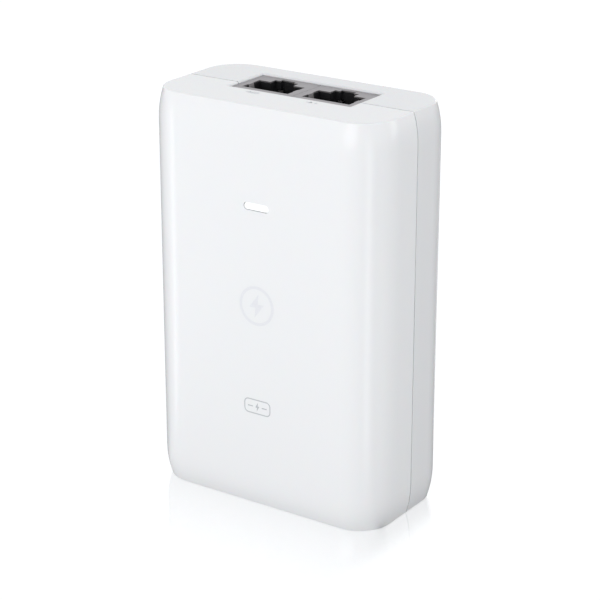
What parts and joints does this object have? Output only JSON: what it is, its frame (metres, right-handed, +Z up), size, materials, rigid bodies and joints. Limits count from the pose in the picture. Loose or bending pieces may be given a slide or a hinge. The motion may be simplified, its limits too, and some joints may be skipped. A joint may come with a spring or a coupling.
{
  "type": "poe injector",
  "caption": "Upright white power-over-Ethernet injector with rounded edges, two shielded network jacks in its top, a status light in front and a mains inlet below.",
  "frame": {"origin": "middle of the base that it stands on", "axes": "+X width, -Y front with the status light, +Z up towards the jacks"},
  "size_m": [0.061, 0.0322, 0.093],
  "materials": {
    "casing": "fine satin white moulding",
    "bracket": "satin white moulding",
    "label": "blank silver-grey polyester label",
    "light_lens": "frosted white lens, lit",
    "led": "white package",
    "shield": "nickel-plated sheet",
    "jack_black": "moulded black",
    "contact": "gold-plated spring wire",
    "inlet_black": "moulded black",
    "pin_metal": "nickel-plated brass",
    "board": "green solder mask",
    "screw": "zinc-plated",
    "film": "clear polyester film",
    "part_black": "epoxy moulding",
    "varistor_blue": "dipped epoxy",
    "box_yellow": "moulded box",
    "ferrite": "sintered ferrite",
    "copper": "enamelled copper wire",
    "sleeve": "shrink sleeve on an aluminium can",
    "heatsink": "bent sheet",
    "pad_grey": "silicone pad",
    "tape_yellow": "polyester tape",
    "part_white": "moulded white",
    "chip_tan": "ceramic chips"
  },
  "bodies": {
    "housing": {"front_cover": "casing", "rear_cover": "casing", "rating_label": "label", "light_pipe": "light_lens", "status_led": "led", "lan_jack_shield": "shield", "poe_jack_shield": "shield", "lan_jack_insert": "jack_black", "poe_jack_insert": "jack_black", "lan_contact_tails": "contact", "poe_contact_tails": "contact", "ac_inlet_body": "inlet_black", "ac_inlet_pins": "pin_metal", "main_board": "board", "board_screws": "screw", "device_screws": "screw", "insulating_sheet": "film", "fuse": "part_black", "varistor": "varistor_blue", "x_capacitor": "box_yellow", "choke_core": "ferrite", "choke_windings": "copper", "choke_base": "part_black", "bridge_rectifier": "part_black", "bulk_capacitor": "sleeve", "mosfet": "part_black", "primary_heatsink": "heatsink", "output_diode": "part_black", "secondary_heatsink": "heatsink", "device_pads": "pad_grey", "transformer_core": "ferrite", "transformer_bobbin": "part_black", "transformer_winding": "tape_yellow", "optocoupler": "part_white", "y_capacitor": "varistor_blue", "output_capacitors": "sleeve", "output_choke": "ferrite", "pwm_controller": "part_black", "pse_controller": "part_black", "data_transformers": "part_black", "surge_diodes": "part_black", "chip_passives": "chip_tan"},
    "bracket": {"wall_bracket": "bracket"},
    "lan_contacts": {"lan_contact_arms": "contact"},
    "poe_contacts": {"poe_contact_arms": "contact"}
  },
  "joints": [
    {"name": "bracket_slide", "type": "slide", "parent": "housing", "child": "bracket", "axis": [0, 0, -1], "range_m": [0, 0.07]},
    {"name": "lan_contact_bend", "type": "hinge", "parent": "housing", "child": "lan_contacts", "pos_m": [-0.00795, -0.00205, 0.0902], "axis": [-1, 0, 0], "range_deg": [0, 9], "stiffness_Nm_per_rad": 0.05},
    {"name": "poe_contact_bend", "type": "hinge", "parent": "housing", "child": "poe_contacts", "pos_m": [0.00795, -0.00205, 0.0902], "axis": [-1, 0, 0], "range_deg": [0, 9], "stiffness_Nm_per_rad": 0.05}
  ]
}
